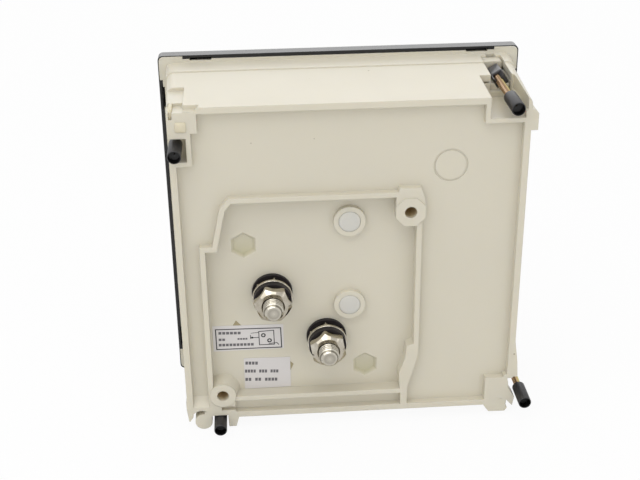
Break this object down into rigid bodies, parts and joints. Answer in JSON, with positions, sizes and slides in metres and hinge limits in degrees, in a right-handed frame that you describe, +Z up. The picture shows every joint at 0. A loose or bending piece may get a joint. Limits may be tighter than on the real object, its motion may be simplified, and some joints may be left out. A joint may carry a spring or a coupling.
{
  "type": "analog panel meter",
  "caption": "Square moving-iron panel meter seen from its terminal side, with quadrant pointer, stud terminals and corner screw clamps.",
  "frame": {"origin": "centre of the bezel's rear face, the plane that meets the panel", "axes": "+Y out of the back along the terminal studs, the dial faces -Y, +Z up"},
  "size_m": [0.1458, 0.0676, 0.144],
  "materials": {
    "bezel_black": "semi-gloss",
    "window_clear": "clear",
    "gasket_rubber": "matt",
    "mask_black": "matt",
    "housing_cream": "satin",
    "dial_white": "matt",
    "steel": "satin",
    "nickel": "bright nickel plate",
    "brass": "satin",
    "yellow_zinc": "yellow zinc plate",
    "copper_wire": "enamelled",
    "copper_bar": "bare",
    "black_plastic": "satin",
    "black_oxide": "black oxide",
    "former_white": "satin",
    "pointer_black": "matt black",
    "bronze": "bright",
    "alu": "satin",
    "plug_grey": "satin",
    "sticker": "matt"
  },
  "bodies": {
    "case": {"bezel_frame": "bezel_black", "window_pane": "window_clear", "window_gasket": "gasket_rubber", "corner_mask": "mask_black", "dial_plate": "dial_white", "dial_screws": "steel", "rear_housing": "housing_cream", "movement_base": "steel", "movement_screws": "steel", "pillars": "brass", "front_bridge": "brass", "bridge_screws": "steel", "front_bearing": "brass", "rear_bearing": "brass", "fixed_iron": "steel", "coil_former": "former_white", "coil_winding": "copper_wire", "damping_chamber": "alu", "busbar_upper": "copper_bar", "busbar_lower": "copper_bar", "terminal_studs": "nickel", "base_washers": "black_oxide", "lower_nuts": "nickel", "top_washers": "black_oxide", "top_nuts": "nickel", "blanking_plugs": "plug_grey", "sticker_wide": "sticker", "sticker_tall": "sticker", "sleeve_top_left": "black_plastic", "sleeve_top_right": "black_plastic", "sleeve_bottom_left": "black_plastic", "sleeve_bottom_right": "black_plastic"},
    "pointer_set": {"spindle": "steel", "pointer": "pointer_black", "counterweights": "brass", "moving_iron": "steel", "damping_vane": "alu"},
    "adjuster": {"zero_adjuster": "mask_black"},
    "lever": {"zero_lever": "alu", "hairspring": "bronze"},
    "clamp_rod_top_left": {"rod_top_left": "yellow_zinc"},
    "clamp_cap_top_left": {"cap_top_left": "black_plastic"},
    "clamp_rod_top_right": {"rod_top_right": "yellow_zinc"},
    "clamp_cap_top_right": {"cap_top_right": "black_plastic"},
    "clamp_rod_bottom_left": {"rod_bottom_left": "yellow_zinc"},
    "clamp_cap_bottom_left": {"cap_bottom_left": "black_plastic"},
    "clamp_rod_bottom_right": {"rod_bottom_right": "yellow_zinc"},
    "clamp_cap_bottom_right": {"cap_bottom_right": "black_plastic"}
  },
  "joints": [
    {"name": "pointer_swing", "type": "hinge", "parent": "case", "child": "pointer_set", "pos_m": [0.042, 0, -0.042], "axis": [0, 1, 0], "range_deg": [0, 90], "stiffness_Nm_per_rad": 0.0006, "springref_deg": -20.05},
    {"name": "zero_adjust", "type": "hinge", "parent": "case", "child": "adjuster", "pos_m": [0.04836, 0, -0.04836], "axis": [0, 1, 0], "range_deg": [-30, 30]},
    {"name": "zero_lever_turn", "type": "hinge", "parent": "case", "child": "lever", "pos_m": [0.042, 0, -0.042], "axis": [0, 1, 0], "range_deg": [-4.5, 4.5]},
    {"name": "clamp_travel_top_left", "type": "slide", "parent": "case", "child": "clamp_rod_top_left", "axis": [0, 1, 0], "range_m": [-0.0045, 0.01]},
    {"name": "clamp_turn_top_left", "type": "hinge", "parent": "clamp_rod_top_left", "child": "clamp_cap_top_left", "pos_m": [0.0645, 0, 0.0505], "axis": [0, 1, 0], "range_deg": [-3250, 7210]},
    {"name": "clamp_travel_top_right", "type": "slide", "parent": "case", "child": "clamp_rod_top_right", "axis": [0, 1, 0], "range_m": [-0.0045, 0.01]},
    {"name": "clamp_turn_top_right", "type": "hinge", "parent": "clamp_rod_top_right", "child": "clamp_cap_top_right", "pos_m": [-0.0601, 0, 0.0643], "axis": [0, 1, 0], "range_deg": [-3250, 7210]},
    {"name": "clamp_travel_bottom_left", "type": "slide", "parent": "case", "child": "clamp_rod_bottom_left", "axis": [0, 1, 0], "range_m": [-0.0045, 0.01]},
    {"name": "clamp_turn_bottom_left", "type": "hinge", "parent": "clamp_rod_bottom_left", "child": "clamp_cap_bottom_left", "pos_m": [0.0536, 0, -0.0686], "axis": [0, 1, 0], "range_deg": [-3250, 7210]},
    {"name": "clamp_travel_bottom_right", "type": "slide", "parent": "case", "child": "clamp_rod_bottom_right", "axis": [0, 1, 0], "range_m": [-0.0045, 0.01]},
    {"name": "clamp_turn_bottom_right", "type": "hinge", "parent": "clamp_rod_bottom_right", "child": "clamp_cap_bottom_right", "pos_m": [-0.0709, 0, -0.0626], "axis": [0, 1, 0], "range_deg": [-3250, 7210]}
  ],
  "couplings": [
    {"joint": "zero_lever_turn", "follows": "zero_adjust", "ratio": 0.143},
    {"joint": "clamp_turn_top_left", "follows": "clamp_travel_top_left", "rad_per_m": 12566},
    {"joint": "clamp_turn_top_right", "follows": "clamp_travel_top_right", "rad_per_m": 12566},
    {"joint": "clamp_turn_bottom_left", "follows": "clamp_travel_bottom_left", "rad_per_m": 12566},
    {"joint": "clamp_turn_bottom_right", "follows": "clamp_travel_bottom_right", "rad_per_m": 12566}
  ]
}
